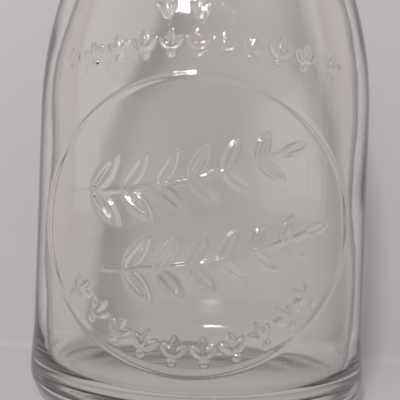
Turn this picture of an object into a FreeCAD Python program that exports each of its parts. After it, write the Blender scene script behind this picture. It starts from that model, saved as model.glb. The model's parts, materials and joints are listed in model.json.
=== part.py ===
"""Round quart glass milk bottle, closed by a waxed paperboard cap with a lift tab.

Millimetres. The origin is the middle of the ring that the bottle stands on, +Z points
up through the mouth, and the decorated front faces -Y.
"""

import FreeCAD
import Part

import math
import os

import Sketcher

Vector = FreeCAD.Vector

# alias, value, what it is
DIMENSIONS = [
    ("total_height", 241.3, "table to lip, nine and a half inches"),
    ("body_radius", 49.0, "straight wall of the body"),
    ("wall", 3.2, "thickness of the body and shoulder"),
    ("heel_radius", 49.6, "contact band round the foot"),
    ("heel_corner", 7.5, "rounding under the contact band"),
    ("heel_band_top", 10.5, "top of the contact band"),
    ("body_start", 20.0, "where the straight wall begins"),
    ("bearing_inner", 34.0, "inside edge of the ring that it stands on"),
    ("push_up", 2.2, "rise of the base in the middle"),
    ("floor_top", 6.2, "inside floor"),
    ("floor_corner", 7.0, "rounding round the inside floor"),
    ("shoulder_start", 83.0, "where the wall starts to turn in"),
    ("shoulder_radius", 118.0, "outer curve of the shoulder"),
    ("neck_start", 189.0, "where the neck becomes straight"),
    ("neck_radius", 23.6, "outside of the neck"),
    ("neck_bore", 19.2, "inside of the neck"),
    ("bead_foot", 221.5, "where the neck flares into the lip band"),
    ("bead_start", 226.5, "bottom of the straight lip band"),
    ("lip_radius", 26.8, "outside of the lip band"),
    ("lip_round", 2.8, "outer rounding of the lip"),
    ("mouth_round", 0.8, "inner rounding of the lip"),
    ("mouth_radius", 22.2, "mouth just inside the lip"),
    ("seat_wall", 20.95, "wall round the cap at its seat"),
    ("seat_height", 235.6, "ledge that the cap sits on"),
    ("throat_radius", 18.7, "inside edge of the ledge"),
    ("relief_height", 0.6, "how far the decoration stands proud"),
    ("relief_root", 0.5, "how deep it is rooted in the wall"),
    ("relief_low", 14.6, "bottom of the decorated band"),
    ("relief_high", 112.0, "top of the decorated band"),
    ("cap_radius", 20.64, "a disc of one and five eighths inches"),
    ("cap_gap", 0.05, "between the ledge and the cap"),
    ("lower_ply", 0.6, "thickness of the lower board"),
    ("upper_ply", 0.55, "thickness of the upper board"),
    ("tab_thickness", 0.5, "board of the tab"),
    ("tab_half_width", 7.5, "half the width of the tab"),
    ("tab_free_end", 9.0, "from the axis to where the tab's round end starts"),
    ("crease", 3.0, "from the axis back to the crease of the tab"),
    ("cut_gap", 0.2, "die cut round the tab"),
    ("crease_gap", 0.1, "score along the crease"),
    ("wire_radius", 0.25, "wire of the staple"),
    ("wire_play", 0.05, "space round the wire in its holes"),
    ("wire_bend", 0.3, "bend of the wire, on its middle line"),
    ("leg_x", 4.8, "staple leg from the middle"),
    ("leg_y", 5.4, "staple leg behind the axis"),
    ("clinch_x", 1.4, "tip of a clinched leg from the middle"),
    ("wire_lift", 0.02, "air between the wire and the boards"),
]

# The decoration lies in the front view: x across and z up, as it was cut in the mould.
PLATE_MIDDLE = Vector(0, 0, 51.0)
PLATE_HALF_WIDTH = 39.5
PLATE_HALF_HEIGHT = 35.8
RING_LINE = 1.2
STEM = 1.4
STEM_SAG = 2.5
LEAF_PAIRS = 6
FIRST_PAIR = 0.10
LAST_PAIR = 0.88
LEAF_LEAN = 50.0
LEAF_SHAPE = 0.40
LEAF_WIDEST = 0.45
TIP_SHRINK = 0.35
VEIN = 0.8
VEIN_START = 0.16
VEIN_END = 0.74
VEIN_SAG = 0.15
VEINED_LEAF = 6.5
SPRIG_DOT_RISE = 0.10
SPRIG_DOT_RADIUS = 0.13
SPRIG_ROOT = 0.28
SPRIG_LEAVES = ((-44, 0.62), (0, 0.74), (44, 0.62))
SPRIG_LEAF_WIDTH = 0.27
DRAW_DEPTH = 60.0

# How a sketch numbers the points of a curve, and its own axes.
START, END, MIDDLE = 1, 2, 3
ACROSS_AXIS, UP_AXIS = -1, -2


def add_sheet(doc):
    """The spreadsheet that holds every driving dimension."""
    sheet = doc.addObject("Spreadsheet::Sheet", "dims")
    for row, (alias, value, note) in enumerate(DIMENSIONS, start=1):
        sheet.set(f"A{row}", alias)
        sheet.set(f"B{row}", str(value))
        sheet.set(f"C{row}", note)
        sheet.setAlias(f"B{row}", alias)
    doc.recompute()
    return sheet


def measure(sheet, names):
    """The value of a sum of sheet names, such as 'heel_radius - heel_corner'."""
    total = 0.0
    sign = 1
    for word in names.split():
        if word in ("+", "-"):
            sign = 1 if word == "+" else -1
        elif word != "0":
            total += sign * sheet.get(word)
    return total


def bound(names):
    """The same sum as an expression that FreeCAD keeps up to date."""
    words = [word if word in ("+", "-", "0") else f"dims.{word}" for word in names.split()]
    return " ".join(words)


def new_body(doc, label):
    body = doc.addObject("PartDesign::Body", label)
    body.Label = label
    return body


def new_sketch(body, name, role):
    """A sketch on one of the body's own origin planes."""
    plane = next(item for item in body.Origin.OriginFeatures if item.Role == role)
    sketch = body.newObject("Sketcher::SketchObject", name)
    sketch.AttachmentSupport = (plane, [""])
    sketch.MapMode = "FlatFace"
    return sketch


def fix_point(sketch, curve, end, across, up):
    """Ties one end of a curve to sums of sheet names, counted from the sketch's origin."""
    if across == "0":
        sketch.addConstraint(Sketcher.Constraint("PointOnObject", curve, end, UP_AXIS))
    else:
        place = measure(sketch.Document.dims, across)
        index = sketch.addConstraint(Sketcher.Constraint("DistanceX", curve, end, place))
        sketch.setExpression(f"Constraints[{index}]", bound(across))
    if up == "0":
        sketch.addConstraint(Sketcher.Constraint("PointOnObject", curve, end, ACROSS_AXIS))
    else:
        place = measure(sketch.Document.dims, up)
        index = sketch.addConstraint(Sketcher.Constraint("DistanceY", curve, end, place))
        sketch.setExpression(f"Constraints[{index}]", bound(up))


def fix_radius(sketch, curve, names):
    radius = measure(sketch.Document.dims, names)
    index = sketch.addConstraint(Sketcher.Constraint("Radius", curve, radius))
    sketch.setExpression(f"Constraints[{index}]", bound(names))


def arc_between(start, end, radius, turn):
    """An arc from start to end. turn is 1 where it bends left on the way and -1 right."""
    chord = end - start
    left = Vector(-chord.y, chord.x, 0).normalize()
    height = math.sqrt(max(radius**2 - (chord.Length / 2) ** 2, 0.0))
    middle = (start + end) * 0.5 + left * height * turn
    circle = Part.Circle(middle, Vector(0, 0, 1), radius)
    first, last = (start, end) if turn > 0 else (end, start)
    angles = [math.atan2(p.y - middle.y, p.x - middle.x) for p in (first, last)]
    return Part.ArcOfCircle(circle, angles[0], angles[1])


def draw_outline(sketch, corners):
    """Draws a closed outline through the corners and ties it to the sheet.

    A corner is (across, up, radius, turn). The last two, None for a straight stretch,
    shape the stretch that arrives at it. A corner whose across is a Vector is only a
    first guess, for the constraints to settle. Returns the curves' numbers.
    """
    dims = sketch.Document.dims
    places = []
    for across, up, _, _ in corners:
        known = isinstance(across, str)
        places.append(Vector(measure(dims, across), measure(dims, up), 0) if known else across)
    curves = []
    ends = []
    for i, (_, _, radius, turn) in enumerate(corners):
        if radius is None:
            shape = Part.LineSegment(places[i - 1], places[i])
        else:
            size = radius if isinstance(radius, float) else measure(dims, radius)
            shape = arc_between(places[i - 1], places[i], size, turn)
        curves.append(sketch.addGeometry(shape, False))
        ends.append((END, START) if turn == -1 else (START, END))
    for i, (across, up, radius, _) in enumerate(corners):
        following = (i + 1) % len(corners)
        here = (curves[i], ends[i][1])
        ahead = (curves[following], ends[following][0])
        if isinstance(across, str):
            sketch.addConstraint(Sketcher.Constraint("Coincident", *here, *ahead))
            fix_point(sketch, *here, across, up)
        else:
            sketch.addConstraint(Sketcher.Constraint("Tangent", *here, *ahead))
        if isinstance(radius, str):
            fix_radius(sketch, curves[i], radius)
    return curves


def level_with_middle(sketch, curve, end):
    """Puts an arc's middle level with one of its ends, so that it meets a wall upright."""
    sketch.addConstraint(Sketcher.Constraint("Horizontal", curve, end, curve, MIDDLE))


def s_curve(low, high, first_radius):
    """Where two tangent arcs meet that lead a wall from low in to high, and the second
    arc's radius. Both ends are upright."""
    inward = low.x - high.x
    rise = high.y - low.y
    turn = 2 * math.atan(inward / rise)
    second_radius = rise / math.sin(turn) - first_radius
    meeting = low + Vector(first_radius * (math.cos(turn) - 1), first_radius * math.sin(turn), 0)
    return meeting, second_radius


def glass_wall(doc):
    """The plain bottle, turned about its axis: base, heel, body, shoulder, neck and lip."""
    dims = doc.dims
    outer_low = Vector(dims.body_radius, dims.shoulder_start, 0)
    outer_high = Vector(dims.neck_radius, dims.neck_start, 0)
    inner_low = Vector(dims.body_radius - dims.wall, dims.shoulder_start, 0)
    inner_high = Vector(dims.neck_bore, dims.neck_start, 0)
    outer_meet, outer_neck_arc = s_curve(outer_low, outer_high, dims.shoulder_radius)
    inner_shoulder = dims.shoulder_radius - dims.wall
    inner_meet, inner_neck_arc = s_curve(inner_low, inner_high, inner_shoulder)
    dome_radius = (dims.bearing_inner**2 + dims.push_up**2) / (2 * dims.push_up)

    corners = [
        ("0", "push_up", None, None),
        ("bearing_inner", "0", float(dome_radius), -1),
        ("heel_radius - heel_corner", "0", None, None),
        ("heel_radius", "heel_corner", "heel_corner", 1),
        ("heel_radius", "heel_band_top", None, None),
        ("body_radius", "body_start", None, None),
        ("body_radius", "shoulder_start", None, None),
        (outer_meet, None, "shoulder_radius", 1),
        ("neck_radius", "neck_start", float(outer_neck_arc), -1),
        ("neck_radius", "bead_foot", None, None),
        ("lip_radius", "bead_start", None, None),
        ("lip_radius", "total_height - lip_round", None, None),
        ("lip_radius - lip_round", "total_height", "lip_round", 1),
        ("mouth_radius + mouth_round", "total_height", None, None),
        ("mouth_radius", "total_height - mouth_round", "mouth_round", 1),
        ("seat_wall", "seat_height", None, None),
        ("throat_radius", "seat_height", None, None),
        ("neck_bore", "neck_start", None, None),
        (inner_meet, None, float(inner_neck_arc), 1),
        ("body_radius - wall", "shoulder_start", "shoulder_radius - wall", -1),
        ("body_radius - wall", "floor_top + floor_corner", None, None),
        ("body_radius - wall - floor_corner", "floor_top", "floor_corner", -1),
        ("0", "floor_top", None, None),
    ]
    body = new_body(doc, "glass_wall")
    sketch = new_sketch(body, "wall_section", "XZ_Plane")
    curves = draw_outline(sketch, corners)
    # their places in the list of corners
    dome, shoulder, neck_arc, inner_neck, inner_arc = (curves[i] for i in (1, 7, 8, 18, 19))
    sketch.addConstraint(Sketcher.Constraint("PointOnObject", dome, MIDDLE, UP_AXIS))
    level_with_middle(sketch, shoulder, START)
    level_with_middle(sketch, neck_arc, START)
    level_with_middle(sketch, inner_neck, START)
    level_with_middle(sketch, inner_arc, START)

    turned = body.newObject("PartDesign::Revolution", "turned_wall")
    turned.Profile = sketch
    turned.ReferenceAxis = (sketch, ["V_Axis"])
    turned.Angle = 360
    return body


def relief_layer(doc):
    """A thin skin over the body and shoulder, as thick as the decoration is high."""
    dims = doc.dims
    body = new_body(doc, "relief_layer")
    sketch = new_sketch(body, "layer_section", "XZ_Plane")
    inside = "body_radius - relief_root"
    outside = "body_radius + relief_height"
    climb = dims.relief_high - dims.shoulder_start

    def fall(radius):
        return radius - math.sqrt(radius**2 - climb**2)

    inner_arc = dims.shoulder_radius - dims.relief_root
    outer_arc = dims.shoulder_radius + dims.relief_height
    inner_top = Vector(measure(dims, inside) - fall(inner_arc), dims.relief_high, 0)
    outer_top = Vector(measure(dims, outside) - fall(outer_arc), dims.relief_high, 0)
    low = {
        "inner": Vector(measure(dims, inside), dims.relief_low, 0),
        "outer": Vector(measure(dims, outside), dims.relief_low, 0),
    }
    turn_in = {
        "inner": Vector(measure(dims, inside), dims.shoulder_start, 0),
        "outer": Vector(measure(dims, outside), dims.shoulder_start, 0),
    }
    shapes = [
        Part.LineSegment(low["inner"], low["outer"]),
        Part.LineSegment(low["outer"], turn_in["outer"]),
        arc_between(turn_in["outer"], outer_top, outer_arc, 1),
        Part.LineSegment(outer_top, inner_top),
        arc_between(turn_in["inner"], inner_top, inner_arc, 1),
        Part.LineSegment(turn_in["inner"], low["inner"]),
    ]
    foot, outer_line, outer_curve, cap, inner_curve, inner_line = (
        sketch.addGeometry(shape, False) for shape in shapes
    )
    joins = [
        (foot, END, outer_line, START),
        (outer_line, END, outer_curve, START),
        (outer_curve, END, cap, START),
        (cap, END, inner_curve, END),
        (inner_curve, START, inner_line, START),
        (inner_line, END, foot, START),
    ]
    for join in joins:
        sketch.addConstraint(Sketcher.Constraint("Coincident", *join))
    fix_point(sketch, foot, START, inside, "relief_low")
    fix_point(sketch, foot, END, outside, "relief_low")
    fix_point(sketch, outer_curve, START, outside, "shoulder_start")
    fix_point(sketch, inner_curve, START, inside, "shoulder_start")
    for curve, radius in (
        (outer_curve, "shoulder_radius + relief_height"),
        (inner_curve, "shoulder_radius - relief_root"),
    ):
        level_with_middle(sketch, curve, START)
        fix_radius(sketch, curve, radius)
        index = sketch.addConstraint(
            Sketcher.Constraint("DistanceY", curve, END, dims.relief_high)
        )
        sketch.setExpression(f"Constraints[{index}]", "dims.relief_high")

    layer = body.newObject("PartDesign::Revolution", "turned_layer")
    layer.Profile = sketch
    layer.ReferenceAxis = (sketch, ["V_Axis"])
    layer.Angle = 360
    return body


def front(x, z):
    """A point of the decoration's flat drawing."""
    return Vector(x, 0, z)


def pointing(degrees, length):
    """A step in the drawing, counted from +X towards +Z."""
    angle = math.radians(degrees)
    return front(math.cos(angle) * length, math.sin(angle) * length)


def bow(start, end, sag):
    """An arc that leaves its chord by sag, to the right of the way from start to end."""
    chord = end - start
    right = Vector(chord.z, 0, -chord.x).normalize()
    return Part.Arc(start, (start + end) * 0.5 + right * sag, end)


def raised_line(curve, width):
    """A band with round ends along a curve of the drawing."""
    path = Part.Wire([curve.toShape()])
    return Part.Face(path.makeOffset2D(width / 2, 0, False, False, False))


def dot(middle, radius):
    return Part.Face(Part.Wire([Part.Circle(middle, Vector(0, 1, 0), radius).toShape()]))


def leaf(base, angle, length, width):
    """A pointed leaf, widest a little below its middle, with a vein cut in a long one."""
    tip = base + pointing(angle, length)
    side = pointing(angle + 90, width / 2)
    middle = base + pointing(angle, length * LEAF_WIDEST)
    one_side = Part.Arc(base, middle + side, tip).toShape()
    other_side = Part.Arc(tip, middle - side, base).toShape()
    blade = Part.Face(Part.Wire([one_side, other_side]))
    if length < VEINED_LEAF:
        return blade
    vein_start = base + pointing(angle, length * VEIN_START)
    vein_end = base + pointing(angle, length * VEIN_END)
    return blade.cut(raised_line(bow(vein_start, vein_end, VEIN_SAG), VEIN))


def branch(start, end, longest):
    """A bowed stem with pairs of leaves that get smaller towards the leaf at its tip."""
    stem = bow(start, end, STEM_SAG)
    faces = [raised_line(stem, STEM)]

    def direction(place):
        way = stem.tangent(place)[0]
        return math.degrees(math.atan2(way.z, way.x))

    for i in range(LEAF_PAIRS):
        share = FIRST_PAIR + (LAST_PAIR - FIRST_PAIR) * i / (LEAF_PAIRS - 1)
        place = stem.FirstParameter + (stem.LastParameter - stem.FirstParameter) * share
        length = longest * (1 - TIP_SHRINK * share)
        for lean in (-LEAF_LEAN, LEAF_LEAN):
            angle = direction(place) + lean
            faces.append(leaf(stem.value(place), angle, length, length * LEAF_SHAPE))
    length = longest * (1 - TIP_SHRINK)
    angle = direction(stem.LastParameter)
    faces.append(leaf(end, angle, length, length * LEAF_SHAPE))
    return faces


def sprig(middle, up, size):
    """A small motif of three leaves over a dot, as tall as size."""
    foot = middle - pointing(up, size / 2)
    faces = [dot(foot + pointing(up, size * SPRIG_DOT_RISE), size * SPRIG_DOT_RADIUS)]
    root = foot + pointing(up, size * SPRIG_ROOT)
    for lean, length in SPRIG_LEAVES:
        faces.append(leaf(root, up + lean, size * length, size * SPRIG_LEAF_WIDTH))
    return faces


def plate_ring():
    """The raised line round the decorated plate."""
    faces = []
    for grow in (RING_LINE / 2, -RING_LINE / 2):
        along = PLATE_MIDDLE + front(PLATE_HALF_WIDTH + grow, 0)
        above = PLATE_MIDDLE + front(0, PLATE_HALF_HEIGHT + grow)
        ellipse = Part.Ellipse(along, above, PLATE_MIDDLE)
        faces.append(Part.Face(Part.Wire([ellipse.toShape()])))
    return faces[0].cut(faces[1])


def sprig_arc():
    """A row of sprigs inside the foot of the ring, with their tops to its middle."""
    count = 10
    first = 214
    last = 326
    share_of_ring = 0.85
    size = 6.6
    faces = []
    for i in range(count):
        angle = first + (last - first) * i / (count - 1)
        step = pointing(angle, share_of_ring)
        place = PLATE_MIDDLE + front(step.x * PLATE_HALF_WIDTH, step.z * PLATE_HALF_HEIGHT)
        faces += sprig(place, angle + 180, size)
    return faces


def sprig_row(count, half_row, height, size):
    """A row of sprigs over the ring, which bends down and fans out towards its ends."""
    droop = 0.0022
    fan = 0.4
    faces = []
    for i in range(count):
        x = half_row * (2 * i / (count - 1) - 1)
        faces += sprig(front(x, height - droop * x * x), 90 - fan * x, size)
    return faces


def ornament():
    """Every raised motif, as flat faces in the front view."""
    faces = [plate_ring()]
    faces += branch(front(-31.0, 58.0), front(21.0, 69.0), longest=11.6)
    faces += branch(front(-21.5, 39.5), front(27.5, 49.5), longest=10.6)
    faces += sprig_arc()
    faces += sprig_row(count=11, half_row=33.0, height=94.5, size=6.2)
    faces += sprig_row(count=3, half_row=8.0, height=103.5, size=5.2)
    return faces


def glass_bottle(doc):
    """The bottle as one piece of glass: the turned wall with its raised decoration."""
    wall = glass_wall(doc)
    layer = relief_layer(doc)
    faces = ornament()
    drawing = doc.addObject("Part::Feature", "ornament_drawing")
    drawing.Shape = faces[0].multiFuse(faces[1:]).removeSplitter()

    prism = doc.addObject("Part::Extrusion", "ornament_prism")
    prism.Base = drawing
    prism.DirMode = "Custom"
    prism.Dir = Vector(0, -1, 0)
    prism.LengthFwd = DRAW_DEPTH
    prism.Solid = True

    relief = doc.addObject("Part::Common", "relief")
    relief.Base = layer
    relief.Tool = prism
    relief.Refine = False

    bottle = doc.addObject("Part::Fuse", "glass_bottle")
    bottle.Label = "glass_bottle"
    bottle.Base = wall
    bottle.Tool = relief
    bottle.Refine = False
    return bottle


def raise_to(body, names):
    """Lifts a body to a height given as a sum of sheet names."""
    body.setExpression("Placement.Base.z", bound(names))


def cap_disc(doc, label, thickness):
    """A round board with the staple's two holes."""
    body = new_body(doc, label)
    sketch = new_sketch(body, label + "_disc", "XY_Plane")
    rim = sketch.addGeometry(Part.Circle(Vector(), Vector(0, 0, 1), doc.dims.cap_radius), False)
    sketch.addConstraint(Sketcher.Constraint("Coincident", rim, MIDDLE, ACROSS_AXIS, START))
    fix_radius(sketch, rim, "cap_radius")
    board = body.newObject("PartDesign::Pad", label + "_board")
    board.Profile = sketch
    board.setExpression("Length", bound(thickness))

    holes = new_sketch(body, label + "_leg_holes", "XY_Plane")
    for side in (-1, 1):
        middle = Vector(side * doc.dims.leg_x, doc.dims.leg_y, 0)
        size = doc.dims.wire_radius + doc.dims.wire_play
        hole = holes.addGeometry(Part.Circle(middle, Vector(0, 0, 1), size), False)
        fix_point(holes, hole, MIDDLE, "leg_x" if side > 0 else "0 - leg_x", "leg_y")
        fix_radius(holes, hole, "wire_radius + wire_play")
    pierced = body.newObject("PartDesign::Pocket", label + "_pierced")
    pierced.Profile = holes
    pierced.Type = "ThroughAll"
    pierced.Reversed = True
    return body


def tab_outline(sketch, half_width, crease, free_end):
    """A straight-sided tongue with a half-round free end, which points to -Y."""
    left = "0 - " + half_width.replace("+", "-")
    round_end = float(measure(sketch.Document.dims, half_width))
    corners = [
        (half_width, crease, None, None),
        (left, crease, None, None),
        (left, free_end, None, None),
        (half_width, free_end, round_end, 1),
    ]
    curves = draw_outline(sketch, corners)
    level_with_middle(sketch, curves[-1], START)


def cap_lower_ply(doc):
    """The board that sits on the ledge in the mouth."""
    body = cap_disc(doc, "cap_lower_ply", "lower_ply")
    raise_to(body, "seat_height + cap_gap")
    return body


def cap_upper_ply(doc):
    """The board glued on top, with the window that the tab is cut from."""
    body = cap_disc(doc, "cap_upper_ply", "upper_ply")
    window = new_sketch(body, "tab_window", "XY_Plane")
    tab_outline(window, "tab_half_width + cut_gap", "crease + crease_gap", "0 - tab_free_end")
    cut = body.newObject("PartDesign::Pocket", "tab_cut")
    cut.Profile = window
    cut.Type = "ThroughAll"
    cut.Reversed = True
    raise_to(body, "seat_height + cap_gap + lower_ply")
    return body


def lift_tab(doc):
    """The tongue that a thumb lifts; it folds at its crease."""
    body = new_body(doc, "lift_tab")
    sketch = new_sketch(body, "tab_section", "XY_Plane")
    tab_outline(sketch, "tab_half_width", "crease", "0 - tab_free_end")
    pad = body.newObject("PartDesign::Pad", "tab_board")
    pad.Profile = sketch
    pad.setExpression("Length", "dims.tab_thickness")
    raise_to(body, "seat_height + cap_gap + lower_ply + upper_ply - tab_thickness")
    return body


def staple(doc):
    """Wire through both boards behind the crease, its legs clinched underneath."""
    dims = doc.dims
    body = new_body(doc, "staple")
    path = new_sketch(body, "wire_path", "XZ_Plane")
    top = "lower_ply + upper_ply + wire_lift + wire_radius"
    bottom = "0 - wire_lift - wire_radius"
    high, low = measure(dims, top), measure(dims, bottom)
    bend = dims.wire_bend
    leg = dims.leg_x
    stops = [
        Vector(-dims.clinch_x, low, 0),
        Vector(-leg + bend, low, 0),
        Vector(-leg, low + bend, 0),
        Vector(-leg, high - bend, 0),
        Vector(-leg + bend, high, 0),
        Vector(leg - bend, high, 0),
        Vector(leg, high - bend, 0),
        Vector(leg, low + bend, 0),
        Vector(leg - bend, low, 0),
        Vector(dims.clinch_x, low, 0),
    ]
    names = [
        ("0 - clinch_x", bottom),
        ("0 - leg_x + wire_bend", bottom),
        ("0 - leg_x", bottom + " + wire_bend"),
        ("0 - leg_x", top + " - wire_bend"),
        ("0 - leg_x + wire_bend", top),
        ("leg_x - wire_bend", top),
        ("leg_x", top + " - wire_bend"),
        ("leg_x", bottom + " + wire_bend"),
        ("leg_x - wire_bend", bottom),
        ("clinch_x", bottom),
    ]
    previous = None
    for i in range(len(stops) - 1):
        bent = i % 2 == 1
        if bent:
            shape = arc_between(stops[i], stops[i + 1], bend, -1)
        else:
            shape = Part.LineSegment(stops[i], stops[i + 1])
        curve = path.addGeometry(shape, False)
        entry, leave = (END, START) if bent else (START, END)
        if previous:
            path.addConstraint(Sketcher.Constraint("Coincident", *previous, curve, entry))
        else:
            fix_point(path, curve, entry, *names[0])
        fix_point(path, curve, leave, *names[i + 1])
        if bent:
            fix_radius(path, curve, "wire_bend")
        previous = (curve, leave)

    section = new_sketch(body, "wire_section", "YZ_Plane")
    middle = Vector(0, low, 0)
    ring = section.addGeometry(Part.Circle(middle, Vector(0, 0, 1), dims.wire_radius), False)
    fix_point(section, ring, MIDDLE, "0", bottom)
    fix_radius(section, ring, "wire_radius")
    section.setExpression("AttachmentOffset.Base.z", "0 - dims.clinch_x")
    wire = body.newObject("PartDesign::AdditivePipe", "bent_wire")
    wire.Profile = section
    wire.Spine = (path, [f"Edge{i + 1}" for i in range(len(stops) - 1)])
    body.setExpression("Placement.Base.y", "dims.leg_y")
    raise_to(body, "seat_height + cap_gap")
    return body


def check(doc, pieces):
    """Stops if anything failed, because a failed object would be written out silently."""
    for item in doc.Objects:
        if "Invalid" in item.State or "Error" in item.State:
            raise RuntimeError(f"{item.Label} failed: {item.State}")
    for piece in pieces:
        shape = piece.Shape
        if shape.isNull() or not shape.isValid() or len(shape.Solids) != 1:
            raise RuntimeError(f"{piece.Label} isn't one sound solid")
        print(f"{piece.Label}: {shape.Volume:.1f} mm3, faces {len(shape.Faces)}")


def main():
    doc = FreeCAD.newDocument("milk_bottle")
    add_sheet(doc)
    pieces = [
        glass_bottle(doc),
        cap_lower_ply(doc),
        cap_upper_ply(doc),
        lift_tab(doc),
        staple(doc),
    ]
    doc.recompute()
    check(doc, pieces)
    os.makedirs("parts", exist_ok=True)
    for piece in pieces:
        piece.Shape.exportStep(os.path.join("parts", piece.Label + ".step"))


main()
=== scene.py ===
"""Looks of the round quart glass milk bottle and its waxed paperboard cap.

Shapes are worked out in millimetres, in the frame's own axes, and stored in metres.
"""

import json
import math

import bmesh
import bpy
import numpy as np
from mathutils import Matrix, Vector


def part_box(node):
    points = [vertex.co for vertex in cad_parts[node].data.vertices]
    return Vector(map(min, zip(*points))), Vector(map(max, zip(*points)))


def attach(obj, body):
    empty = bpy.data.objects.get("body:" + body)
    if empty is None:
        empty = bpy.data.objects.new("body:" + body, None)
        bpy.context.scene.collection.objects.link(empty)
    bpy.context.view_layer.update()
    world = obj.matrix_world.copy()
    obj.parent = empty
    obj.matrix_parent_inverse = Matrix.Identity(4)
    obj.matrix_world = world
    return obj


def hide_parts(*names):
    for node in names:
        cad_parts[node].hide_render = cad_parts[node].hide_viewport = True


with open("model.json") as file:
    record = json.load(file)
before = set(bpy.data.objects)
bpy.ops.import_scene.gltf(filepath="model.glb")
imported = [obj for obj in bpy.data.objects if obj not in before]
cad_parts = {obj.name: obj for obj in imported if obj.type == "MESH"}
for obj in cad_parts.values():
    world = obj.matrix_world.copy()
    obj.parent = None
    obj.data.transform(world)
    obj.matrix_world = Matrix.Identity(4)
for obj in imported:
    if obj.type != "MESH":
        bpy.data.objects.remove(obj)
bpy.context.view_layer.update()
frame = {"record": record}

MM = 0.001
MOUNTS = {mount["name"]: mount for mount in frame["record"]["mounts"]}


# ---------------------------------------------------------------- sizes of the bottle

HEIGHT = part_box("glass_bottle")[1].z / MM
LIP_RADIUS = MOUNTS["lip_band"]["dims"]["r_mm"]
HEEL_RADIUS = MOUNTS["heel_band"]["dims"]["r_mm"]
BODY_RADIUS = 49.0
WALL = 3.2
HEEL_CORNER = 7.5
HEEL_BAND_TOP = 10.5
BODY_START = 20.0
BEARING_INNER = 34.0
PUSH_UP = 2.2
FLOOR_TOP = 6.2
FLOOR_CORNER = 7.0
SHOULDER_START = 83.0
SHOULDER_RADIUS = 118.0
NECK_START = 189.0
NECK_RADIUS = 23.6
NECK_BORE = 19.2
BEAD_FOOT = 221.5
BEAD_START = 226.5
LIP_ROUND = 2.8
MOUTH_ROUND = 0.8
MOUTH_RADIUS = 22.2
SEAT_WALL = 20.95
SEAT_HEIGHT = 235.6
THROAT_RADIUS = 18.7
FIRE_POLISH = 0.35
DOME_STEP = 2.0
MOUTH_STEP = 0.2

PLATE_MIDDLE = (0.0, 51.0)
PLATE_HALF_WIDTH = 39.5
PLATE_HALF_HEIGHT = 35.8
RING_LINE = 1.2
RING_POINTS = 900
STEM = 1.4
STEM_POINTS = 220
STEM_SAG = 2.5
LEAF_PAIRS = 6
FIRST_PAIR = 0.10
LAST_PAIR = 0.88
LEAF_LEAN = 50.0
LEAF_SHAPE = 0.40
LEAF_WIDEST = 0.45
LEAF_FULLNESS = 0.85
LEAF_POINT = 0.05
LEAF_STEP = 0.25
FEWEST_LEAF_POINTS = 9
TIP_SHRINK = 0.35
VEIN = 0.8
VEIN_STEP = 0.3
VEIN_START = 0.16
VEIN_END = 0.74
VEINED_LEAF = 6.5
BRANCHES = (((-31, 58), (21, 69), 11.6), ((-21.5, 39.5), (27.5, 49.5), 10.6))
ARC_SPRIGS = 10
ARC_START = 214
ARC_END = 326
ARC_SHARE = 0.85
ARC_SPRIG = 6.6
SPRIG_ROWS = ((11, 33.0, 94.5, 6.2), (3, 8.0, 103.5, 5.2))
ROW_SAG = 0.0022
ROW_FAN = 0.4
SPRIG_LEAVES = ((-44, 0.62), (0, 0.74), (44, 0.62))
SPRIG_LEAF_WIDTH = 0.27
SPRIG_ROOT = 0.28
SPRIG_DOT_RISE = 0.1
SPRIG_DOT_RADIUS = 0.13

RING_RELIEF = {"height": 0.34, "outside": 0.55, "slope": 1.3}
LEAF_RELIEF = {"height": 0.66, "outside": 0.32, "slope": 0.82}
RELIEF_REACH = 1.0
RELIEF_LOW = 12
RELIEF_HIGH = 110
RELIEF_SIDE = 1.3
REFINED_SIDE = 1.2
SIDE_FALL = 0.68
SIDE_START = 0.45
SEAM_RISE = 0.11
SEAM_WIDTH = 0.3
SEAM_LOW = 1.5
SEAM_BELOW_TOP = 4
SCAR_RADIUS = 22
SCAR_DEPTH = 0.12
SCAR_WIDTH = 0.5
SCAR_HIGH = 3

COLUMNS = 121
SEAM_COLUMNS = (-1.1, -0.55, -0.25, 0, 0.25, 0.55, 1.1)
SEAM_CLEAR = 1.3
LONGEST_ROW = 4.5
SHARPEST_BEND = 14
DECORATED_STEP = 2.6
FINE_ROWS_LOW = 13
FINE_ROWS_HIGH = 108
REFINE_REACHES = (3.2, 2.0, 1.1)
MERGE_DISTANCE = 0.004
POINTS_AT_ONCE = 4000


# ---------------------------------------------------------------- outline of the wall

def arc_points(middle, radius, first, last, step=0.3):
    """Points of an arc between two angles in degrees, a step apart."""
    count = max(3, int(abs(math.radians(last - first)) * radius / step))
    angles = np.radians(np.linspace(first, last, count))
    return [(middle[0] + radius * math.cos(a), middle[1] + radius * math.sin(a)) for a in angles]


def s_curve(low_radius, high_radius, first_radius):
    """The shoulder: an arc that turns in from the body and one that ends up the neck."""
    rise = NECK_START - SHOULDER_START
    turn = 2 * math.atan((low_radius - high_radius) / rise)
    second_radius = rise / math.sin(turn) - first_radius
    turn = math.degrees(turn)
    lower = arc_points((low_radius - first_radius, SHOULDER_START), first_radius, 0, turn)
    middle = (high_radius + second_radius, NECK_START)
    upper = arc_points(middle, second_radius, 180 + turn, 180)
    return lower + upper[1:]


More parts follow.
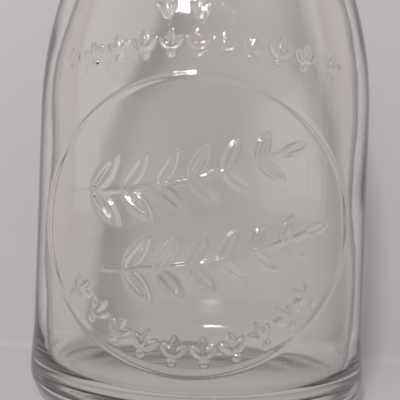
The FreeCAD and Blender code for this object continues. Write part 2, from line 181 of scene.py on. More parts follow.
def wall_outline():
    """Corners and arcs of the glass: from the axis under the base up the outside to the
    lip, and from the lip down the inside to the axis again."""
    dome = (BEARING_INNER**2 + PUSH_UP**2) / (2 * PUSH_UP)
    spread = math.degrees(math.asin(BEARING_INNER / dome))
    outside = arc_points((0, PUSH_UP - dome), dome, 90, 90 - spread, DOME_STEP)
    outside += arc_points((HEEL_RADIUS - HEEL_CORNER, HEEL_CORNER), HEEL_CORNER, -90, 0)
    outside += [(HEEL_RADIUS, HEEL_BAND_TOP), (BODY_RADIUS, BODY_START)]
    outside += s_curve(BODY_RADIUS, NECK_RADIUS, SHOULDER_RADIUS)
    outside += [(NECK_RADIUS, BEAD_FOOT), (LIP_RADIUS, BEAD_START)]
    rounding = (LIP_RADIUS - LIP_ROUND, HEIGHT - LIP_ROUND)
    outside += arc_points(rounding, LIP_ROUND, 0, 90)
    rounding = (MOUTH_RADIUS + MOUTH_ROUND, HEIGHT - MOUTH_ROUND)
    inside = arc_points(rounding, MOUTH_ROUND, 90, 180, MOUTH_STEP)
    inside += [(SEAT_WALL, SEAT_HEIGHT), (THROAT_RADIUS, SEAT_HEIGHT)]
    inner = s_curve(BODY_RADIUS - WALL, NECK_BORE, SHOULDER_RADIUS - WALL)
    inside += inner[::-1]
    corner = (BODY_RADIUS - WALL - FLOOR_CORNER, FLOOR_TOP + FLOOR_CORNER)
    inside += arc_points(corner, FLOOR_CORNER, 0, -90)
    inside += [(0, FLOOR_TOP)]
    return np.array(outside), np.array(inside)


def lengths_along(points):
    steps = np.linalg.norm(np.diff(points, axis=0), axis=1)
    return np.concatenate([[0], np.cumsum(steps)])


def soften(points, reach, step=0.1):
    """The same line with its corners rounded off over about reach, as fire polish does."""
    along = lengths_along(points)
    count = int(along[-1] / step)
    even = np.linspace(0, along[-1], count)
    line = np.column_stack([np.interp(even, along, points[:, i]) for i in (0, 1)])
    half = int(3 * reach / step)
    weights = np.exp(-0.5 * (np.arange(-half, half + 1) * step / reach) ** 2)
    weights /= weights.sum()
    before = 2 * line[0] - line[half:0:-1]
    after = 2 * line[-1] - line[-2:-half - 2:-1]
    padded = np.vstack([before, line, after])
    return np.column_stack([np.convolve(padded[:, i], weights, "valid") for i in (0, 1)])


class WallLine:
    """The softened outline, read by the distance along it."""

    def __init__(self):
        outside, inside = wall_outline()
        self.points = soften(np.vstack([outside, inside]), FIRE_POLISH)
        self.points[0, 0] = self.points[-1, 0] = 0.0
        self.points[:, 0] = np.maximum(self.points[:, 0], 0.0)
        self.along = lengths_along(self.points)
        self.length = self.along[-1]
        self.lip = self.along[np.argmax(self.points[:, 1])]
        ahead = np.gradient(self.points, self.along, axis=0)
        ahead /= np.linalg.norm(ahead, axis=1)[:, None]
        self.ahead = ahead

    def at(self, distance):
        """Radius, height and outward normal at distances along the line."""
        radius, height = (np.interp(distance, self.along, self.points[:, i]) for i in (0, 1))
        run, rise = (np.interp(distance, self.along, self.ahead[:, i]) for i in (0, 1))
        return radius, height, rise, -run

    def rows(self, longest, sharpest):
        """Distances for the mesh's rows: closer together where the line bends."""
        bend = np.abs(np.gradient(np.unwrap(np.arctan2(self.ahead[:, 1], self.ahead[:, 0]))))
        height = self.points[:, 1]
        decorated = (self.along < self.lip) & (height > FINE_ROWS_LOW)
        decorated &= height < FINE_ROWS_HIGH
        step = np.where(decorated, DECORATED_STEP, longest)
        effort = np.gradient(self.along) / step + bend / math.radians(sharpest)
        effort = np.cumsum(effort)
        marks = np.linspace(effort[0], effort[-1], int(effort[-1]) + 1)
        return np.interp(marks, effort, self.along)


# ---------------------------------------------------------------- raised decoration

def pointing(degrees, length):
    angle = math.radians(degrees)
    return np.array([math.cos(angle) * length, math.sin(angle) * length])


def mark(points, half_width):
    """A raised mark: points down its middle, each with its own half width."""
    points = np.atleast_2d(points)
    widths = np.broadcast_to(half_width, len(points))
    return np.column_stack([points, widths])


def leaf(base, angle, length, width):
    """A pointed leaf as a row of widths, and the vein cut in a long one."""
    share = np.linspace(0, 1, max(FEWEST_LEAF_POINTS, int(length / LEAF_STEP)))
    lean = math.log(0.5) / math.log(LEAF_WIDEST)
    swell = np.sin(math.pi * share**lean) ** LEAF_FULLNESS
    way = pointing(angle, length)
    blade = mark(base + way * share[:, None], np.maximum(swell * width / 2, LEAF_POINT))
    if length < VEINED_LEAF:
        return [blade], []
    share = np.linspace(VEIN_START, VEIN_END, int(length / VEIN_STEP))
    return [blade], [mark(base + way * share[:, None], VEIN / 2)]


def branch(start, end, longest):
    """A bowed stem with pairs of leaves that get smaller towards the leaf at its tip."""
    start, end = np.array(start), np.array(end)
    chord = end - start
    right = np.array([chord[1], -chord[0]]) / np.linalg.norm(chord)

    def bowed(share):
        share = np.asarray(share)[..., None]
        return start + chord * share + right * STEM_SAG * 4 * share * (1 - share)

    def direction(share):
        way = chord + right * STEM_SAG * 4 * (1 - 2 * share)
        return math.degrees(math.atan2(way[1], way[0]))

    blades, veins = [mark(bowed(np.linspace(0, 1, STEM_POINTS)), STEM / 2)], []
    placed = [(1.0, 0.0)]
    for share in np.linspace(FIRST_PAIR, LAST_PAIR, LEAF_PAIRS):
        placed += [(share, -LEAF_LEAN), (share, LEAF_LEAN)]
    for share, lean in placed:
        length = longest * (1 - TIP_SHRINK * share)
        angle = direction(share) + lean
        blade, vein = leaf(bowed(share), angle, length, length * LEAF_SHAPE)
        blades += blade
        veins += vein
    return blades, veins


def sprig(middle, up, size):
    """A small motif of three leaves over a dot, as tall as size."""
    foot = middle - pointing(up, size / 2)
    marks = [mark(foot + pointing(up, size * SPRIG_DOT_RISE), size * SPRIG_DOT_RADIUS)]
    root = foot + pointing(up, size * SPRIG_ROOT)
    for lean, length in SPRIG_LEAVES:
        marks += leaf(root, up + lean, size * length, size * SPRIG_LEAF_WIDTH)[0]
    return marks


def plate_ring():
    """The raised line round the decorated plate."""
    turn = np.linspace(0, 2 * math.pi, RING_POINTS, endpoint=False)
    ring_x = PLATE_MIDDLE[0] + PLATE_HALF_WIDTH * np.cos(turn)
    ring_z = PLATE_MIDDLE[1] + PLATE_HALF_HEIGHT * np.sin(turn)
    return [mark(np.column_stack([ring_x, ring_z]), RING_LINE / 2)], []


def leaves():
    """The leafy marks in the front view, x across and z up, and the veins cut in them."""
    marks, veins = [], []
    for start, end, longest in BRANCHES:
        more_marks, more_veins = branch(start, end, longest)
        marks += more_marks
        veins += more_veins

    for angle in np.linspace(ARC_START, ARC_END, ARC_SPRIGS):
        step = pointing(angle, ARC_SHARE) * (PLATE_HALF_WIDTH, PLATE_HALF_HEIGHT)
        marks += sprig(PLATE_MIDDLE + step, angle + 180, ARC_SPRIG)

    for count, half_row, height, size in SPRIG_ROWS:
        for x in np.linspace(-half_row, half_row, count):
            marks += sprig(np.array([x, height - ROW_SAG * x * x]), 90 - ROW_FAN * x, size)
    return marks, veins


def depth_in(marks, points, reach):
    """How far each point is inside the nearest mark. It is negative outside, and no
    lower than minus reach."""
    depth = np.full(len(points), -reach)
    for line in marks:
        margin = line[:, 2].max() + reach
        low = line[:, :2].min(0) - margin
        high = line[:, :2].max(0) + margin
        near = np.nonzero(((points > low) & (points < high)).all(1))[0]
        for part in np.array_split(near, max(1, len(near) // POINTS_AT_ONCE)):
            gaps = points[part, None, :] - line[None, :, :2]
            inside = (line[None, :, 2] - np.sqrt((gaps**2).sum(2))).max(1)
            depth[part] = np.maximum(depth[part], inside)
    return depth


def relief_depth(drawing, points, reach):
    """The same for the whole decoration, with the veins taken out of the leaves."""
    marks, veins = drawing
    return np.minimum(depth_in(marks, points, reach), -depth_in(veins, points, reach))


def smooth(value):
    value = np.clip(value, 0, 1)
    return value * value * (3 - 2 * value)


# ---------------------------------------------------------------- the glass

def waves(angle, height, terms):
    """A gentle unevenness: terms are (size, turns round, wavelength up, phase)."""
    total = np.zeros_like(angle)
    for size, turns, wavelength, phase in terms:
        total += size * np.sin(turns * angle + 2 * math.pi * height / wavelength + phase)
    return total


INNER_WAVES = [(0.16, 2, 190, 0.4), (0.10, 3, -83, 1.9), (0.07, 5, 61, 0.7), (0.05, 7, -37, 2.6)]
OUTER_WAVES = [(0.035, 2, 120, 1.1), (0.02, 3, -71, 0.2), (0.012, 9, 43, 2.2)]
INNER_FADE = ((9, 16), (226, 18))
OUTER_FADE = ((16, 12), (212, 20))


def fade(height, limits):
    """Grows from 0 at the first height and is 0 again at the second, each over a length."""
    (start, rise), (end, fall) = limits
    return smooth((height - start) / rise) * smooth((end - height) / fall)


def glass_columns():
    """Angles round the bottle, counted from the front, with extra ones at the seams."""
    even = np.linspace(-math.pi, math.pi, COLUMNS)
    offsets = np.array(SEAM_COLUMNS) / BODY_RADIUS
    seams = [side * math.pi / 2 + offsets for side in (-1, 1)]
    kept = even[np.abs(np.abs(even) - math.pi / 2) > SEAM_CLEAR / BODY_RADIUS]
    return np.sort(np.concatenate([kept] + seams))


def flat_grid(columns, rows):
    """The wall unrolled: x is the angle and y the distance along the outline."""
    mesh = bmesh.new()
    grid = [[mesh.verts.new((angle, along, 0)) for angle in columns] for along in rows]
    for lower, upper in zip(grid, grid[1:]):
        for i in range(len(columns) - 1):
            mesh.faces.new((lower[i], lower[i + 1], upper[i + 1], upper[i]))
    return mesh


def front_view(angle, along, line):
    """Where points of the unrolled wall are in the front view."""
    radius, height, _, _ = line.at(along)
    return np.column_stack([radius * np.sin(angle), height])


def refine(mesh, line, drawings):
    """Splits the faces that the edge of a raised mark crosses, again and again."""
    for reach in REFINE_REACHES:
        mesh.faces.ensure_lookup_table()
        middles = np.array([face.calc_center_median()[:2] for face in mesh.faces])
        places = front_view(middles[:, 0], middles[:, 1], line)
        facing = (middles[:, 1] < line.lip) & (np.abs(middles[:, 0]) < REFINED_SIDE)
        facing &= (places[:, 1] > RELIEF_LOW) & (places[:, 1] < RELIEF_HIGH)
        chosen = np.nonzero(facing)[0]
        depth = np.max([relief_depth(d, places[chosen], reach) for d in drawings], axis=0)
        picked = [mesh.faces[int(i)] for i in chosen[depth > -reach]]
        edges = {edge for face in picked for edge in face.edges}
        bmesh.ops.subdivide_edges(mesh, edges=list(edges), cuts=1, use_grid_fill=True)


def decoration_lift(line, angle, along, height):
    """How far the raised decoration lifts each point of the unrolled wall."""
    lift = np.zeros(len(angle))
    decorated = (along <= line.lip) & (np.abs(angle) < RELIEF_SIDE)
    decorated &= (height > RELIEF_LOW) & (height < RELIEF_HIGH)
    seen = front_view(angle, along, line)[decorated]
    for drawing, relief in ((plate_ring(), RING_RELIEF), (leaves(), LEAF_RELIEF)):
        depth = relief_depth(drawing, seen, RELIEF_REACH)
        raised = smooth((depth + relief["outside"]) / relief["slope"]) * relief["height"]
        lift[decorated] = np.maximum(lift[decorated], raised)
    return lift * (1 - SIDE_FALL * smooth((np.abs(angle) - SIDE_START) / SIDE_START))


def mould_marks(outside, angle, radius, height):
    """The seams where the mould's halves met, and the ring mark under the base."""
    from_seam = np.abs(np.abs(angle) - math.pi / 2) * radius
    seam = outside & (height > SEAM_LOW) & (height < HEIGHT - SEAM_BELOW_TOP)
    lift = np.where(seam, SEAM_RISE * np.exp(-((from_seam / SEAM_WIDTH) ** 2)), 0)
    scar = outside & (height < SCAR_HIGH) & (radius < BEARING_INNER)
    from_scar = (radius - SCAR_RADIUS) / SCAR_WIDTH
    return lift + np.where(scar, -SCAR_DEPTH * np.exp(-(from_scar**2)), 0)


def unevenness(outside, angle, height):
    """Gentle waves in both faces of the wall, which fade out at the base and the neck."""
    outer = fade(height, OUTER_FADE) * waves(angle, height, OUTER_WAVES)
    inner = fade(height, INNER_FADE) * waves(angle, height, INNER_WAVES)
    return np.where(outside, outer, inner)


def glass_bottle(material):
    """The bottle's glass, both faces of its wall, with the decoration as real relief."""
    line = WallLine()
    mesh = flat_grid(glass_columns(), line.rows(LONGEST_ROW, SHARPEST_BEND))
    refine(mesh, line, [plate_ring(), leaves()])
    mesh.verts.ensure_lookup_table()
    flat = np.array([vertex.co[:2] for vertex in mesh.verts])
    angle, along = flat[:, 0], flat[:, 1]
    radius, height, out_r, out_z = line.at(along)

    outside = along <= line.lip
    lift = decoration_lift(line, angle, along, height)
    lift += mould_marks(outside, angle, radius, height)
    lift += unevenness(outside, angle, height)

    radius = np.maximum(radius + lift * out_r, 0.0)
    height = height + lift * out_z
    for i, vertex in enumerate(mesh.verts):
        across = radius[i] * math.sin(angle[i])
        deep = -radius[i] * math.cos(angle[i])
        vertex.co = Vector((across, deep, height[i])) * MM
    bmesh.ops.remove_doubles(mesh, verts=mesh.verts, dist=MERGE_DISTANCE * MM)
    bmesh.ops.recalc_face_normals(mesh, faces=mesh.faces)
    piece = new_piece("glass_wall", mesh, material)
    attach(piece, "bottle")
    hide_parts("glass_bottle")


def new_piece(name, mesh, material):
    """Turns an edited mesh into a smooth object with one material."""
    data = bpy.data.meshes.new(name)
    mesh.to_mesh(data)
    mesh.free()
    data.shade_smooth()
    data.materials.append(material)
    piece = bpy.data.objects.new(name, data)
    bpy.context.scene.collection.objects.link(piece)
    return piece


# ---------------------------------------------------------------- the paper cap

CAP_RADIUS = 20.64
CAP_REST = SEAT_HEIGHT + 0.05
LOWER_PLY = 0.6
UPPER_PLY = 0.55
TAB_THICKNESS = 0.5
TAB_HALF_WIDTH = 7.5
TAB_FREE_END = 9.0
CREASE = 3.0
CUT_GAP = 0.2
CREASE_GAP = 0.1
WIRE_RADIUS = 0.25
WIRE_PLAY = 0.05
WIRE_BEND = 0.3
WIRE_LIFT = 0.02
LEG_X = 4.8
LEG_Y = 5.4
CLINCH_X = 1.4
BOARD_EDGE = 0.12
WIRE_SIDES = 14
WIRE_END = 0.7
WIRE_STEP = 0.08
RIM_SIDES = 144
TONGUE_POINTS = 49
EDGE_LEVELS = 4


def circle(middle, radius, count, turn=1):
    angles = np.linspace(0, 2 * math.pi * turn, count, endpoint=False)
    across = middle[0] + radius * np.cos(angles)
    return np.column_stack([across, middle[1] + radius * np.sin(angles)])


def tongue(half_width, crease):
    """A straight-sided tongue with a half-round free end, which points to -Y."""
    angles = np.linspace(math.pi, 2 * math.pi, TONGUE_POINTS)
    end = [(half_width * math.cos(a), -TAB_FREE_END + half_width * math.sin(a)) for a in angles]
    return np.array([(half_width, crease), (-half_width, crease)] + end)


def inset(loop, distance):
    """The loop moved into its material, which is on its left."""
    ahead = np.roll(loop, -1, axis=0) - loop
    ahead /= np.linalg.norm(ahead, axis=1)[:, None]
    left = np.column_stack([-ahead[:, 1], ahead[:, 0]])
    corner = left + np.roll(left, 1, axis=0)
    corner /= (corner * left).sum(1)[:, None]
    return loop + corner * distance


def board(name, loops, low, high, body, material):
    """A flat board inside the first loop and outside the others, its edges worn round."""
    mesh = bmesh.new()
    quarter = np.radians(np.linspace(0, 90, EDGE_LEVELS))
    levels = []
    for turn in quarter:
        edge = BOARD_EDGE * (1 - math.sin(turn))
        levels.append((edge, low + BOARD_EDGE * (1 - math.cos(turn))))
    levels += [(edge, low + high - height) for edge, height in reversed(levels)]
    rims = {0: [], len(levels) - 1: []}
    for loop in loops:
        rings = []
        for i, (edge, height) in enumerate(levels):
            ring = [mesh.verts.new((x, y, height)) for x, y in inset(loop, edge)]
            rings.append(ring)
            if i in rims:
                rims[i] += [mesh.edges.new((ring[j - 1], ring[j])) for j in range(len(ring))]
        for here, there in zip(rings, rings[1:]):
            for j in range(len(here)):
                mesh.faces.new((here[j - 1], here[j], there[j], there[j - 1]))
    for rim in rims.values():
        bmesh.ops.triangle_fill(mesh, edges=rim, use_beauty=True)
    bmesh.ops.recalc_face_normals(mesh, faces=mesh.faces)
    return cap_piece(name, mesh, body, material)


def cap_piece(name, mesh, body, material):
    """A piece of the cap, drawn in millimetres, in the place of the solid called name."""
    mesh.transform(Matrix.Diagonal((MM, MM, MM, 1)))
    piece = new_piece(name + "_look", mesh, material)
    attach(piece, body)
    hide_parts(name)
    return piece


def staple_path():
    """The middle of the wire: along the top, down both legs and in under the boards."""
    low = CAP_REST - WIRE_LIFT - WIRE_RADIUS
    high = CAP_REST + LOWER_PLY + UPPER_PLY + WIRE_LIFT + WIRE_RADIUS
    half = [(CLINCH_X, low)]
    for middle_z, first in ((low + WIRE_BEND, -90), (high - WIRE_BEND, 0)):
        middle = (LEG_X - WIRE_BEND, middle_z)
        half += arc_points(middle, WIRE_BEND, first, first + 90, WIRE_STEP)
    other = [(-x, z) for x, z in reversed(half)]
    return np.array(half + other)


def staple(material):
    """Round wire swept along its path, with its cut ends slightly rounded."""
    path = staple_path()
    ahead = np.gradient(path, axis=0)
    ahead /= np.linalg.norm(ahead, axis=1)[:, None]
    ends = [WIRE_END] + [1.0] * (len(path) - 2) + [WIRE_END]
    mesh = bmesh.new()
    rings = []
    for (x, z), (run, rise), size in zip(path, ahead, ends):
        ring = []
        for across, deep in circle((0, 0), WIRE_RADIUS * size, WIRE_SIDES):
            ring.append(mesh.verts.new((x - rise * across, LEG_Y + deep, z + run * across)))
        rings.append(ring)
    for here, there in zip(rings, rings[1:]):
        for j in range(len(here)):
            mesh.faces.new((here[j - 1], here[j], there[j], there[j - 1]))
    mesh.faces.new(rings[0])
    mesh.faces.new(rings[-1])
    bmesh.ops.recalc_face_normals(mesh, faces=mesh.faces)
    piece = cap_piece("staple", mesh, "cap", material)


def paper_cap():
    """Two waxed boards with a lift tab cut from the upper one, held by a staple."""
    material = board_material()
    rim = circle((0, 0), CAP_RADIUS, RIM_SIDES)
    hole = WIRE_RADIUS + WIRE_PLAY
    holes = [circle((side * LEG_X, LEG_Y), hole, WIRE_SIDES, -1) for side in (-1, 1)]
    window = tongue(TAB_HALF_WIDTH + CUT_GAP, CREASE + CREASE_GAP)[::-1]
    middle = CAP_REST + LOWER_PLY
    top = middle + UPPER_PLY
    tab = tongue(TAB_HALF_WIDTH, CREASE)
    pieces = [
        board("cap_lower_ply", [rim] + holes, CAP_REST, middle, "cap", material),
        board("cap_upper_ply", [rim, window] + holes, middle, top, "cap", material),
        board("lift_tab", [tab], top - TAB_THICKNESS, top, "tab", material),
    ]
    staple(wire_material())


# ---------------------------------------------------------------- materials

class Nodes:
    """A short way to write a material's node tree."""

    def __init__(self, name):
        self.material = bpy.data.materials.new(name)
        self.material.use_nodes = True
        self.tree = self.material.node_tree
        self.tree.nodes.clear()
        self.output = self.tree.nodes.new("ShaderNodeOutputMaterial")

    def add(self, kind, values=None, **settings):
        """A node with its inputs set from values, each a number, colour or socket."""
        node = self.tree.nodes.new("ShaderNode" + kind)
        for key, value in settings.items():
            setattr(node, key, value)
        for key, value in (values or {}).items():
            if isinstance(value, bpy.types.NodeSocket):
                self.tree.links.new(value, node.inputs[key])
            else:
                node.inputs[key].default_value = value
        return node

    def spread(self, value, low, high, to_low, to_high):
        """Maps a value from one range to another, clamped."""
        values = {"Value": value, "From Min": low, "From Max": high}
        values |= {"To Min": to_low, "To Max": to_high}
        return self.add("MapRange", values).outputs["Result"]

    def times(self, one, other):
        return self.add("Math", {0: one, 1: other}, operation="MULTIPLY").outputs[0]

    def plus(self, one, other):
        return self.add("Math", {0: one, 1: other}, operation="ADD").outputs[0]

    def finish(self, shader):
        self.tree.links.new(shader, self.output.inputs["Surface"])
        return self.material


THIN_GLASS = (0.985, 0.98, 0.955, 1)
THICK_GLASS = (0.98, 0.98, 0.93, 1)
# painted shade: the near-black colour the glass is mixed towards at its silhouette
PAINTED_DARK_RIM = (0.01, 0.01, 0.01, 1)
WORN_HEIGHTS = (0.004, 0.016)
THICK_HEIGHTS = (0.010, 0.050)
PAINTED_RIM_FACING = (0.69, 0.83)
SHADOW_FACING = 0.45


def glass_material():
    """Clear old glass with tiny ripples and a worn foot. Its faint tint is stronger in the thick
    glass near the base, painted shade turns its colour near black where it is seen aslant to
    darken its silhouette, and light passes through it to make a soft shadow that is darker where
    the wall is seen aslant."""
    n = Nodes("clear_glass")
    place = n.add("TexCoord").outputs["Object"]
    parts = n.add("SeparateXYZ", {"Vector": place})
    height = parts.outputs["Z"]
    heel = n.spread(height, *WORN_HEIGHTS, 1.0, 0.0)
    scuffs = n.add("TexNoise", {"Vector": place, "Scale": 900.0, "Detail": 6.0})
    patches = n.add("TexNoise", {"Vector": place, "Scale": 55.0, "Detail": 3.0})
    worn = n.times(n.spread(scuffs.outputs["Fac"], 0.52, 0.72, 0.0, 1.0), heel)
    worn = n.times(worn, n.spread(patches.outputs["Fac"], 0.35, 0.6, 0.2, 1.0))
    roughness = n.plus(n.spread(worn, 0.0, 1.0, 0.03, 0.3), n.times(heel, 0.08))
    ripples = n.add("TexNoise", {"Vector": place, "Scale": 38.0, "Detail": 2.0})
    grain = n.add("TexNoise", {"Vector": place, "Scale": 420.0, "Detail": 2.0})
    tall = n.plus(ripples.outputs["Fac"], n.times(grain.outputs["Fac"], 0.02))
    bump = n.add("Bump", {"Height": tall, "Strength": 0.12, "Distance": 0.0012})
    facing = n.add("LayerWeight", {"Blend": 0.5}).outputs["Facing"]
    thick = n.spread(height, *THICK_HEIGHTS, 1.0, 0.0)
    tint = n.add("MixRGB", {0: thick, 1: THIN_GLASS, 2: THICK_GLASS})
    # painted shade: mixes the colour towards near black where the glass is seen aslant,
    # darkening the silhouette
    rim = n.spread(facing, *PAINTED_RIM_FACING, 0.0, 1.0)
    colour = n.add("MixRGB", {0: rim, 1: tint.outputs[0], 2: PAINTED_DARK_RIM})
    shader = n.add("BsdfPrincipled", {
        "Base Color": colour.outputs[0],
        "Roughness": roughness,
        "IOR": 1.52,
        "Transmission Weight": 1.0,
        "Normal": bump.outputs["Normal"],
    })
    aslant = n.add("Math", {0: facing, 1: 4.0}, operation="POWER").outputs[0]
    passed = n.spread(aslant, 0.0, SHADOW_FACING, 1.0, 0.0)
    shade = n.add("CombineColor", {"Red": passed, "Green": passed, "Blue": passed})
    clear = n.add("BsdfTransparent", {"Color": shade.outputs["Color"]})
    shadow = n.add("LightPath").outputs["Is Shadow Ray"]
    both = n.add("MixShader", {0: shadow, 1: shader.outputs["BSDF"], 2: clear.outputs["BSDF"]})
    return n.finish(both.outputs["Shader"])


def board_material():
    """Waxed paperboard: pale cream fibre, a little mottled by the wax."""
    n = Nodes("waxed_board")
    place = n.add("TexCoord").outputs["Object"]
    fibre = n.add("TexNoise", {"Vector": place, "Scale": 2600.0, "Detail": 5.0})
    mottle = n.add("TexNoise", {"Vector": place, "Scale": 160.0, "Detail": 4.0})
    shade = n.plus(n.times(fibre.outputs["Fac"], 0.35), n.times(mottle.outputs["Fac"], 0.65))
    ramp = n.add("ValToRGB", {"Fac": shade})
    ramp.color_ramp.elements[0].position = 0.32
    ramp.color_ramp.elements[0].color = (0.66, 0.58, 0.44, 1)
    ramp.color_ramp.elements[1].position = 0.68
    ramp.color_ramp.elements[1].color = (0.86, 0.80, 0.67, 1)
    bump = n.add("Bump", {"Height": shade, "Strength": 0.35, "Distance": 0.00012})
    shader = n.add("BsdfPrincipled", {
        "Base Color": ramp.outputs["Color"],
        "Roughness": n.spread(mottle.outputs["Fac"], 0.3, 0.7, 0.34, 0.55),
        "Coat Weight": 0.35,
        "Coat Roughness": 0.28,
        "Normal": bump.outputs["Normal"],
    })
    return n.finish(shader.outputs["BSDF"])


def wire_material():
    """Tinned steel wire with fine drawing marks and dull spots."""
    n = Nodes("staple_wire")
    place = n.add("TexCoord").outputs["Object"]
    spots = n.add("TexNoise", {"Vector": place, "Scale": 1500.0, "Detail": 5.0})
    ramp = n.add("ValToRGB", {"Fac": spots.outputs["Fac"]})
    ramp.color_ramp.elements[0].color = (0.36, 0.33, 0.30, 1)
    ramp.color_ramp.elements[1].color = (0.72, 0.71, 0.69, 1)
    shader = n.add("BsdfPrincipled", {
        "Base Color": ramp.outputs["Color"],
        "Metallic": 1.0,
        "Roughness": n.spread(spots.outputs["Fac"], 0.3, 0.7, 0.24, 0.5),
    })
    return n.finish(shader.outputs["BSDF"])


# Painted light: strengths of the stage paper's own glow on the floor, the cove and the wall.
FLOOR_GLOW = 0.66
COVE_GLOW = 0.50
WALL_GLOW = 0.65
PAPER_CLOUD = 0.015
FLOOR_EDGE = 0.003
WALL_HEIGHTS = (0.006, 0.035)


def stage_material(name, colour):
    """Matt studio paper with painted light: a glow of its own that lifts its shade, even within
    floor, cove and wall but set apart between them. Seen from behind it isn't there, so it never
    hides the object."""
    n = Nodes(name)
    place = n.add("TexCoord").outputs["Object"]
    cloud = n.add("TexNoise", {"Vector": place, "Scale": 6.0, "Detail": 3.0})
    pale = n.add("MixRGB", {
        0: cloud.outputs["Fac"],
        1: tuple(c * (1 - PAPER_CLOUD) for c in colour) + (1,),
        2: tuple(c * (1 + PAPER_CLOUD) for c in colour) + (1,),
    })
    matt = n.add("BsdfDiffuse", {"Color": pale.outputs[0]})
    height = n.add("SeparateXYZ", {"Vector": place}).outputs["Z"]
    # painted light: lower glow on the cove and higher on floor and wall, to even out how the key
    # light falls on them
    low = n.spread(height, 0.0, FLOOR_EDGE, FLOOR_GLOW, COVE_GLOW)
    rise = n.spread(height, *WALL_HEIGHTS, 0.0, WALL_GLOW - COVE_GLOW)
    strength = n.plus(low, rise)
    painted_glow = n.add("Emission", {"Color": colour + (1,), "Strength": strength})
    paper = n.add("AddShader", {0: matt.outputs["BSDF"], 1: painted_glow.outputs["Emission"]})
    clear = n.add("BsdfTransparent")
    behind = n.add("NewGeometry").outputs["Backfacing"]
    both = n.add("MixShader", {0: behind, 1: paper.outputs["Shader"], 2: clear.outputs["BSDF"]})
    return n.finish(both.outputs["Shader"])


# ---------------------------------------------------------------- studio

WALL_BEHIND = 0.0545
COVE_DEPTH = 0.0125
COVE_HEIGHT = 0.045
FLOOR_STEP = 0.0005
FLOOR_FRONT = 0.4
REAR_FLOOR_START = 0.04
WALL_FOOT = 0.4
WALL_TOP = 2.2
COVE_POINTS = 19
PAPER_HALF = 2.5
PAPER = (0.30, 0.281, 0.287)


def backdrop():
    """A pale floor that turns up into a wall right behind the bottle. Another floor, just
    under it, goes on behind the wall for views from the back."""
    mesh = bmesh.new()
    outline = [(-PAPER_HALF, 0.0), (-FLOOR_FRONT, 0.0)]
    for turn in np.radians(np.linspace(0, 90, COVE_POINTS)):
        deep = WALL_BEHIND - COVE_DEPTH * (1 - math.sin(turn))
        outline.append((deep, COVE_HEIGHT * (1 - math.cos(turn))))
    outline += [(WALL_BEHIND, WALL_FOOT), (WALL_BEHIND, WALL_TOP)]
    half = PAPER_HALF
    rows = [[mesh.verts.new((x, deep, up)) for x in (-half, half)] for deep, up in outline]
    for here, there in zip(rows, rows[1:]):
        mesh.faces.new((here[0], here[1], there[1], there[0]))
    start = REAR_FLOOR_START
    corners = ((-half, start), (half, start), (half, half), (-half, half))
    mesh.faces.new([mesh.verts.new((x, deep, -FLOOR_STEP)) for x, deep in corners])
    piece = new_piece("backdrop", mesh, stage_material("backdrop", PAPER))


LIT_POINT = Vector((0, 0, 0.08))
LIGHT_DISTANCE = 0.6
LIGHT_COLOUR = (1.0, 0.99, 0.985)


def area_light(name, bearing, elevation, size, power):
    """A soft light that points at the bottle's body. Bearing 0 is the front, + is right."""
    across, up = math.radians(bearing), math.radians(elevation)
    level = Vector((math.sin(across), -math.cos(across), 0)) * math.cos(up)
    away = level + Vector((0, 0, math.sin(up)))
    data = bpy.data.lights.new(name, "AREA")
    data.shape = "RECTANGLE"
    data.size, data.size_y = size
    data.energy = power
    data.color = LIGHT_COLOUR
    light = bpy.data.objects.new(name, data)
    light.location = LIT_POINT + away * LIGHT_DISTANCE
    light.rotation_euler = away.to_track_quat("Z", "Y").to_euler()
    bpy.context.scene.collection.objects.link(light)


ROOM_FRONT = 0.15
ROOM_LEFT = 0.75
ROOM_RIGHT = 0.8
SIDE_BEGINS = 0.25
SIDE_FULL = 0.95


def lights():
    """A small key light for the shadow, a larger weak one for the highlight, and a room."""
    area_light("key", -9, 37, (0.06, 0.05), 2.8)
    area_light("glint", -17, 36, (0.115, 0.09), 0.8)
    bpy.context.scene.world = studio_world()


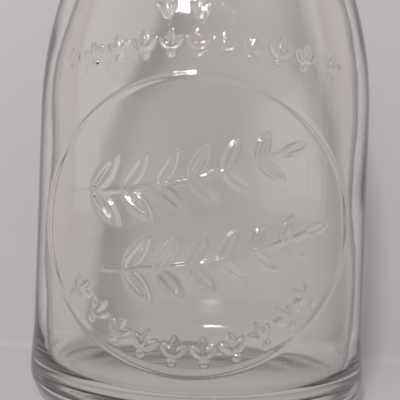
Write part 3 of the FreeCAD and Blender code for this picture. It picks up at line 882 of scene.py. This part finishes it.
def studio_world():
    """A dim room that gets brighter to both sides, a little more to the right."""
    world = bpy.data.worlds.new("studio")
    world.use_nodes = True
    tree = world.node_tree
    background = tree.nodes["Background"]
    background.inputs["Color"].default_value = (0.98, 0.98, 1.0, 1)
    way = tree.nodes.new("ShaderNodeTexCoord").outputs["Generated"]
    parts = tree.nodes.new("ShaderNodeSeparateXYZ")
    tree.links.new(way, parts.inputs["Vector"])

    def sideways(side, low, high):
        """Strength that grows from low to high towards one side, -1 left or 1 right."""
        grow = tree.nodes.new("ShaderNodeMapRange")
        grow.interpolation_type = "SMOOTHSTEP"
        grow.inputs["From Min"].default_value = SIDE_BEGINS * side
        grow.inputs["From Max"].default_value = SIDE_FULL * side
        grow.inputs["To Min"].default_value = low
        grow.inputs["To Max"].default_value = high
        tree.links.new(parts.outputs["X"], grow.inputs["Value"])
        return grow.outputs["Result"]

    both = tree.nodes.new("ShaderNodeMath")
    both.operation = "ADD"
    tree.links.new(sideways(-1, ROOM_FRONT, ROOM_LEFT), both.inputs[0])
    tree.links.new(sideways(1, 0.0, ROOM_RIGHT - ROOM_FRONT), both.inputs[1])
    tree.links.new(both.outputs[0], background.inputs["Strength"])
    return world


CAMERA_DISTANCE = 0.220
CAMERA_HEIGHT = 0.057
CAMERA_BEARING = 2.7
CAMERA_LEFT = 0.0007
CAMERA_ROLL = 1.95
CAMERA_LENS = 64.6


def camera():
    """A close view of the decorated body, level with its middle, as the photograph's."""
    bearing = math.radians(CAMERA_BEARING)
    roll = math.radians(CAMERA_ROLL)
    away = Vector((math.sin(bearing), -math.cos(bearing), 0))
    level_right = Vector((math.cos(bearing), math.sin(bearing), 0))
    up = Vector((0, 0, 1)) * math.cos(roll) - level_right * math.sin(roll)
    right = Vector((0, 0, 1)) * math.sin(roll) + level_right * math.cos(roll)
    data = bpy.data.cameras.new("camera")
    data.lens = CAMERA_LENS
    data.sensor_width = 36.0
    data.clip_start = 0.01
    view = bpy.data.objects.new("camera", data)
    place = Vector((0, 0, CAMERA_HEIGHT)) + away * CAMERA_DISTANCE - level_right * CAMERA_LEFT
    turned = Matrix((right, up, away)).transposed().to_4x4()
    view.matrix_world = Matrix.Translation(place) @ turned
    bpy.context.scene.collection.objects.link(view)
    bpy.context.scene.camera = view


# ---------------------------------------------------------------- everything together

scene = bpy.context.scene
scene.view_settings.view_transform = "Standard"
scene.view_settings.look = "None"
scene.cycles.caustics_refractive = False
scene.cycles.caustics_reflective = False
scene.cycles.max_bounces = 32
scene.cycles.transmission_bounces = 32
scene.cycles.transparent_max_bounces = 24

camera()
lights()
backdrop()
glass_bottle(glass_material())
paper_cap()
